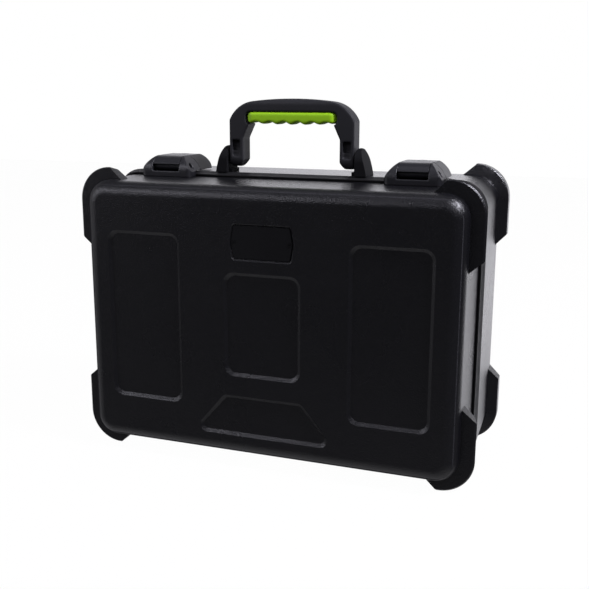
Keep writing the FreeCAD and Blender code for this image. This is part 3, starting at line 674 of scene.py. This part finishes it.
@dataclass(frozen=True)
class CaseShells:
    """The lid and the base with softened edges.

    Attributes:
        edge: The rounding of the edges.
        edge_segments: The facets of that rounding.
        sharper_than: The least angle of the edges that it takes, in degrees.
        badge_edge: The rounding of the badge plate.
        badge_margin: How far past the badge plate its recess reaches.
        level_slack: How far off a panel's floor may be found.
        panel_depth: How deep the front panels lie.
        panel_sink: How much deeper they are shown.
        panel_draft: How far their walls slope inwards.
    """

    edge: float = 1.1 * MM
    edge_segments: int = 2
    sharper_than: float = 30.0
    badge_edge: float = 0.35 * MM
    badge_margin: float = 2.0 * MM
    level_slack: float = 0.05 * MM
    panel_depth: float = 2.0 * MM
    panel_sink: float = 0.9 * MM
    panel_draft: float = 1.5 * MM

    def sink_panels(self, work: bmesh.types.BMesh) -> None:
        """Lowers and shrinks the floors of the front panels, all but the one under the badge.

        Args:
            work: The lid's form.
        """
        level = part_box("lid_shell")[0][1] + self.panel_depth
        low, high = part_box("badge_plate")
        for face in work.faces:
            if any(abs(v.co.y - level) > self.level_slack for v in face.verts):
                continue
            xs, zs = ([v.co[axis] for v in face.verts] for axis in (0, 2))
            middle = Vector(((min(xs) + max(xs)) / 2, 0.0, (min(zs) + max(zs)) / 2))
            half_x, half_z = (max(xs) - min(xs)) / 2, (max(zs) - min(zs)) / 2
            bottom, top = low[2] - self.badge_margin, high[2] + self.badge_margin
            if abs(middle.x) < high[0] and bottom < middle.z < top:
                continue
            LOG.info("panel %.0f x %.0f mm", 2 * half_x / MM, 2 * half_z / MM)
            for vert in face.verts:
                vert.co.x -= (vert.co.x - middle.x) * self.panel_draft / half_x
                vert.co.z -= (vert.co.z - middle.z) * self.panel_draft / half_z
                vert.co.y += self.panel_sink

    def build(self) -> None:
        """Makes both shells and the badge."""
        soft = Softening(self.edge, self.edge_segments, self.sharper_than)
        MouldedPart("lid_shell", "lid", "shell_black", SHELL, soft, self.sink_panels).build()
        MouldedPart("base_shell", "base", "shell_black", SHELL, soft).build()
        fine = Softening(self.badge_edge, self.edge_segments)
        MouldedPart("badge_plate", "lid", "badge_black", BADGE, fine).build()


@dataclass(frozen=True)
class CarryHandle:
    """The handle frame, its grip and the two brackets.

    Attributes:
        frame_voxel: The cell of the frame's even mesh.
        frame_rounds: How often the frame is smoothed.
        bracket_edge: The rounding of the brackets.
        grip_steps: The grip's rings along X and the points of a ring.
        grip_end: How far the grip's ends are rounded.
        lobes: The waves of its underside.
        lobe_depth: The depth of the hollow beside the middle lobe.
        end_sag: How much shallower the hollows are at the ends.
        squareness: The power of the ring's rounded square.
        end_power: The power of the ends' rounding.
    """

    frame_voxel: float = 0.8 * MM
    frame_rounds: int = 14
    bracket_edge: float = 1.1 * MM
    grip_steps: tuple[int, int] = (150, 48)
    grip_end: float = 9.0 * MM
    lobes: int = 6
    lobe_depth: float = 3.4 * MM
    end_sag: float = 0.2
    squareness: float = 5.0
    end_power: float = 2.1

    def build(self) -> None:
        """Makes the handle's pieces."""
        SoftPart(
            "handle_frame", "handle", "handle_black", HANDLE, self.frame_voxel, self.frame_rounds
        ).build()
        for side in Side:
            node = f"handle_bracket_{side.suffix}"
            edge = Softening(self.bracket_edge)
            MouldedPart(node, "base", "handle_black", BRACKET, edge).build()
        self.grip()

    def grip(self) -> None:
        """Makes the soft grip: a tube with round ends and lobes for the fingers below."""
        low, high = (Vector(v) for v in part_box("handle_grip"))
        middle, half = (low + high) / 2, (high - low) / 2
        work = bmesh.new()
        along, around = self.grip_steps
        bmesh.ops.create_grid(work, x_segments=along, y_segments=around, size=0.5)
        for vert in work.verts:
            place, turn = 2 * vert.co.x, math.tau * vert.co.y
            x = half.x * math.sin(place * math.pi / 2)
            reach = max(0.0, abs(x) - (half.x - self.grip_end)) / self.grip_end
            width = (1 - reach**self.end_power) ** (1 / self.end_power)
            across, up = math.cos(turn), math.sin(turn)
            norm = (abs(across) ** self.squareness + abs(up) ** self.squareness) ** (
                1 / self.squareness
            )
            depth = half.z - (self.hollow(x, half.x) if up < 0 else 0.0)
            vert.co = middle + Vector(
                (x, half.y * width * across / norm, depth * width * up / norm)
            )
        bmesh.ops.remove_doubles(work, verts=work.verts, dist=WELD)
        bmesh.ops.recalc_face_normals(work, faces=work.faces)
        grip = placed("grip_soft", work, GRIP, "handle")
        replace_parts(grip, "handle_grip")

    def hollow(self, x: float, half_length: float) -> float:
        """Works out how far the grip's underside is hollowed at a place along it.

        Args:
            x: The place, from the middle.
            half_length: Half the grip's length.

        Returns:
            The depth of the hollow there.
        """
        pitch = 2 * (half_length - self.grip_end / 2) / self.lobes
        wave = (1 - math.cos(math.tau * x / pitch)) / 2
        sag = self.end_sag * (x / half_length) ** 2
        return self.lobe_depth * (wave * (1 - sag) + 2 * sag * (1 - wave))


@dataclass(frozen=True)
class KeyLatch:
    """One latch: the body with its cheeks and the lever.

    Attributes:
        side: The half of the case that it stands on.
        voxel: The cell of the body's even mesh.
        rounds: How often the body is smoothed.
        edge: The rounding of the lever's edges.
    """

    side: Side
    voxel: float = 0.55 * MM
    rounds: int = 8
    edge: float = 0.7 * MM

    def build(self) -> None:
        """Makes the latch's two moulded pieces."""
        suffix = self.side.suffix
        SoftPart(
            f"latch_body_{suffix}", "lid", "latch_black", LATCH, self.voxel, self.rounds
        ).build()
        edge = Softening(self.edge)
        MouldedPart(
            f"latch_lever_{suffix}", f"lever_{suffix}", "latch_black", LATCH, edge
        ).build()


@dataclass(frozen=True)
class FoamSet:
    """The foam insert with its drops, the pad under it and the wavy foam in the lid.

    Attributes:
        voxel: The cell of the insert's even mesh.
        rounds: How often the insert is smoothed.
        pad_edge: The rounding of the pad.
        wave_pitch: The distance between the lid foam's crests.
        wave_depth: The depth of its hollows.
        cell: The size of its faces.
        corner: The radius of its corners.
        corner_cuts: The number of straight cuts that round a corner.
    """

    voxel: float = 3.0 * MM
    rounds: int = 4
    pad_edge: float = 1.6 * MM
    wave_pitch: float = 34.0 * MM
    wave_depth: float = 10.0 * MM
    cell: float = 3.6 * MM
    corner: float = 24.0 * MM
    corner_cuts: int = 7

    def build(self) -> None:
        """Makes the three foam pieces."""
        insert = placed(
            "foam_insert", welded_form(["foam_rails", "foam_dividers"]), FOAM, "base"
        )
        worn(insert, self.voxel, self.rounds)
        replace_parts(settled(insert), "foam_rails", "foam_dividers")
        pad = welded_form(["foam_pad"])
        Softening(self.pad_edge).apply(pad)
        under = evened(placed("foam_floor", pad, FOAM, "base"))
        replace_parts(under, "foam_pad")
        lid = placed("foam_lid_waves", self.waves(), FOAM, "lid")
        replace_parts(lid, "lid_foam")

    def waves(self) -> bmesh.types.BMesh:
        """Shapes the lid's foam: a sheet of crests and hollows with a flat back.

        Returns:
            The form.
        """
        low, high = (Vector(v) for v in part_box("lid_foam"))
        middle, size = (low + high) / 2, high - low
        work = bmesh.new()
        bmesh.ops.create_grid(
            work, x_segments=round(size.x / self.cell), y_segments=round(size.z / self.cell),
            size=0.5,
        )
        for vert in work.verts:
            x, z = vert.co.x * size.x, vert.co.y * size.z
            turn = math.tau / self.wave_pitch
            wave = math.cos(x * turn) * math.cos(z * turn)
            y = high.y - self.wave_depth * (1 - wave) / 2
            vert.co = Vector((middle.x + x, y, middle.z + z))
        self.round_corners(work, middle, size)
        made = bmesh.ops.extrude_face_region(work, geom=work.faces[:])
        for item in made["geom"]:
            if isinstance(item, bmesh.types.BMVert):
                item.co.y = low.y
        bmesh.ops.recalc_face_normals(work, faces=work.faces)
        return work

    def round_corners(self, work: bmesh.types.BMesh, middle: Vector, size: Vector) -> None:
        """Cuts the sheet's corners round.

        Args:
            work: The sheet.
            middle: Its middle.
            size: Its width, depth and height.
        """
        for corner in Corner:
            across, up = corner.value
            hub = middle + Vector(
                (across * (size.x / 2 - self.corner), 0.0, up * (size.z / 2 - self.corner))
            )
            for i in range(self.corner_cuts):
                turn = math.radians(90.0) * (i + 0.5) / self.corner_cuts
                out = Vector((across * math.cos(turn), 0.0, up * math.sin(turn)))
                bmesh.ops.bisect_plane(
                    work, geom=work.verts[:] + work.edges[:] + work.faces[:],
                    plane_co=hub + out * self.corner, plane_no=out, clear_outer=True,
                )


# Studio


@dataclass(frozen=True)
class Lamp:
    """A soft box that faces the middle of the case.

    Attributes:
        name: The lamp's name.
        place: Where it stands.
        size: Its width and height.
        glow: Its radiance.
        tint: Its colour.
    """

    name: str
    place: tuple[float, float, float]
    size: tuple[float, float]
    glow: float
    tint: tuple[float, float, float] = (0.90, 0.89, 1.0)

    def build(self) -> None:
        """Makes the lamp, whose power is its radiance times pi times its area."""
        data = bpy.data.lights.new(self.name, "AREA")
        data.shape = "RECTANGLE"
        data.size, data.size_y = self.size
        data.energy = self.glow * math.pi * self.size[0] * self.size[1]
        data.color = self.tint
        obj = bpy.data.objects.new(self.name, data)
        look = Vector((0.0, 0.0, CASE_MIDDLE)) - Vector(self.place)
        obj.rotation_euler = look.to_track_quat("-Z", "Y").to_euler()
        obj.location = self.place
        bpy.context.scene.collection.objects.link(obj)


LAMPS = (
    Lamp("key", (1.42, -0.28, 1.75), (0.42, 0.42), 100.0),
    Lamp("front_top", (-1.15, -1.6, 1.5), (0.9, 0.5), 6.6),
    Lamp("front_right", (1.5, -2.2, 2.1), (1.2, 1.0), 2.5),
    Lamp("overhead", (-0.3, -0.3, 2.2), (1.6, 1.0), 0.7),
    Lamp("front_left", (-2.0, -1.0, 0.9), (0.8, 1.0), 3.0),
)


@dataclass(frozen=True)
class Room:
    """White to the camera; to the case a room that is bright behind it and dim in front.

    Attributes:
        tint: The colour of its light.
        behind: The glow along Y.
        lift: How much a direction's height counts beside its reach to the right.
        shade: Where the glow behind begins along that lift.
        fade: Where it dims again.
        least: The glow from everywhere.
        ground: The glow from below, along Z.
        flank: The glow from the left, along X.
    """

    tint: tuple[float, float, float, float] = (0.955, 0.945, 1.0, 1.0)
    behind: Ramp = Ramp(0.4, 1.0, 0.0, 1.5)
    lift: float = 1.5
    shade: Ramp = Ramp(-0.75, -0.15)
    fade: Ramp = Ramp(0.1, 0.65, 1.0, 0.22)
    least: float = 0.06
    ground: Ramp = Ramp(-0.4, -0.8, 0.0, 0.38)
    flank: Ramp = Ramp(-0.55, -0.9, 0.0, 0.22)

    def glow(self, graph: Graph) -> bpy.types.NodeSocket:
        """Wires the room's strength by direction.

        Args:
            graph: The world's node tree.

        Returns:
            The strength's socket.
        """
        place = graph.node("ShaderNodeTexCoord")
        split = graph.node("ShaderNodeSeparateXYZ")
        graph.link(place.outputs["Generated"], split.inputs["Vector"])
        right, back, up = (split.outputs[axis] for axis in "XYZ")
        lift = graph.sum("MULTIPLY_ADD", up, self.lift, right)
        band = graph.sum(
            "MULTIPLY", graph.ramp(self.shade, lift), graph.ramp(self.fade, lift)
        )
        far = graph.sum("MULTIPLY_ADD", graph.ramp(self.behind, back), band, self.least)
        sides = graph.sum("ADD", graph.ramp(self.ground, up), graph.ramp(self.flank, right))
        return graph.sum("ADD", far, sides)

    def build(self) -> None:
        """Makes the world."""
        world = bpy.data.worlds.new("studio")
        bpy.context.scene.world = world
        world.use_nodes = True
        world.node_tree.nodes.clear()
        graph = Graph(world.node_tree)
        room = graph.node("ShaderNodeBackground")
        graph.link(self.glow(graph), room.inputs["Strength"])
        room.inputs["Color"].default_value = self.tint
        plain = graph.node("ShaderNodeBackground")
        plain.inputs["Color"].default_value = (1.0, 1.0, 1.0, 1.0)
        path = graph.node("ShaderNodeLightPath")
        both = graph.node("ShaderNodeMixShader")
        graph.link(path.outputs["Is Camera Ray"], both.inputs["Fac"])
        graph.link(room.outputs["Background"], both.inputs[1])
        graph.link(plain.outputs["Background"], both.inputs[2])
        out = graph.node("ShaderNodeOutputWorld")
        graph.link(both.outputs["Shader"], out.inputs["Surface"])


@dataclass(frozen=True)
class Floor:
    """A pale floor that keeps a faint shadow and lets the lowered lid show through.

    Attributes:
        size: Its width.
        colour: Its colour.
        cover: How much of it shows.
    """

    size: float = 8.0
    colour: tuple[float, float, float, float] = (0.95, 0.95, 0.95, 1.0)
    cover: float = 0.015

    def build(self) -> None:
        """Makes the floor."""
        mesh = bpy.data.meshes.new("floor")
        plane = bmesh.new()
        bmesh.ops.create_grid(plane, x_segments=1, y_segments=1, size=self.size / 2)
        plane.to_mesh(mesh)
        plane.free()
        obj = bpy.data.objects.new("floor", mesh)
        bpy.context.scene.collection.objects.link(obj)
        material = bpy.data.materials.new("pale_floor")
        material.use_nodes = True
        material.node_tree.nodes.clear()
        graph = Graph(material.node_tree)
        pale = graph.node("ShaderNodeBsdfDiffuse")
        pale.inputs["Color"].default_value = self.colour
        clear = graph.node("ShaderNodeBsdfTransparent")
        both = graph.node("ShaderNodeMixShader")
        both.inputs["Fac"].default_value = self.cover
        graph.link(clear.outputs["BSDF"], both.inputs[1])
        graph.link(pale.outputs["BSDF"], both.inputs[2])
        out = graph.node("ShaderNodeOutputMaterial")
        graph.link(both.outputs["Shader"], out.inputs["Surface"])
        mesh.materials.append(material)


@dataclass(frozen=True)
class PhotoCamera:
    """The camera at the photograph's place.

    Attributes:
        eye: Where it stands.
        azimuth: Its turn about Z, in degrees.
        elevation: Its height over the level, in degrees.
        roll: Its turn about its own axis, in degrees.
        focal_pixels: Its focal length in the photograph's pixels.
        frame_pixels: The photograph's width in pixels.
        shift: The shift of its frame, as shares of the width.
        sensor: Its sensor's width in millimetres.
        near: Where its view begins.
    """

    eye: tuple[float, float, float] = (0.36811, -1.00873, 0.43386)
    azimuth: float = 20.1668
    elevation: float = 12.8096
    roll: float = 0.1683
    focal_pixels: float = 879.77
    frame_pixels: float = 589.0
    shift: tuple[float, float] = (0.0014, 0.0005)
    sensor: float = 36.0
    near: float = 0.05

    def build(self) -> None:
        """Makes the camera and looks through it."""
        data = bpy.data.cameras.new("camera")
        data.sensor_width = self.sensor
        data.lens = self.focal_pixels / self.frame_pixels * self.sensor
        data.clip_start = self.near
        data.shift_x, data.shift_y = self.shift
        turn, tilt, roll = (math.radians(v) for v in (self.azimuth, self.elevation, self.roll))
        back = Vector(
            (math.sin(turn) * math.cos(tilt), -math.cos(turn) * math.cos(tilt), math.sin(tilt))
        )
        level = Vector((math.cos(turn), math.sin(turn), 0.0))
        upright = back.cross(level)
        right = math.cos(roll) * level + math.sin(roll) * upright
        up = math.cos(roll) * upright - math.sin(roll) * level
        turned = Matrix((right, up, back)).transposed().to_4x4()
        obj = bpy.data.objects.new("camera", data)
        obj.matrix_world = Matrix.Translation(Vector(self.eye)) @ turned
        bpy.context.scene.collection.objects.link(obj)
        bpy.context.scene.camera = obj


def build_studio() -> None:
    """Sets up the camera, the lamps, the surroundings and the floor."""
    bpy.context.scene.view_settings.view_transform = "Standard"
    PhotoCamera().build()
    Room().build()
    for lamp in LAMPS:
        lamp.build()
    Floor().build()
    LOG.info("studio ready")


def main() -> None:
    """Builds everything in order."""
    logging.basicConfig(level=logging.INFO)
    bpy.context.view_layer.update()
    build_studio()
    dress_nodes()
    CaseShells().build()
    CarryHandle().build()
    for side in Side:
        KeyLatch(side).build()
    FoamSet().build()
    bpy.context.view_layer.update()


if __name__ == "__main__":
    main()
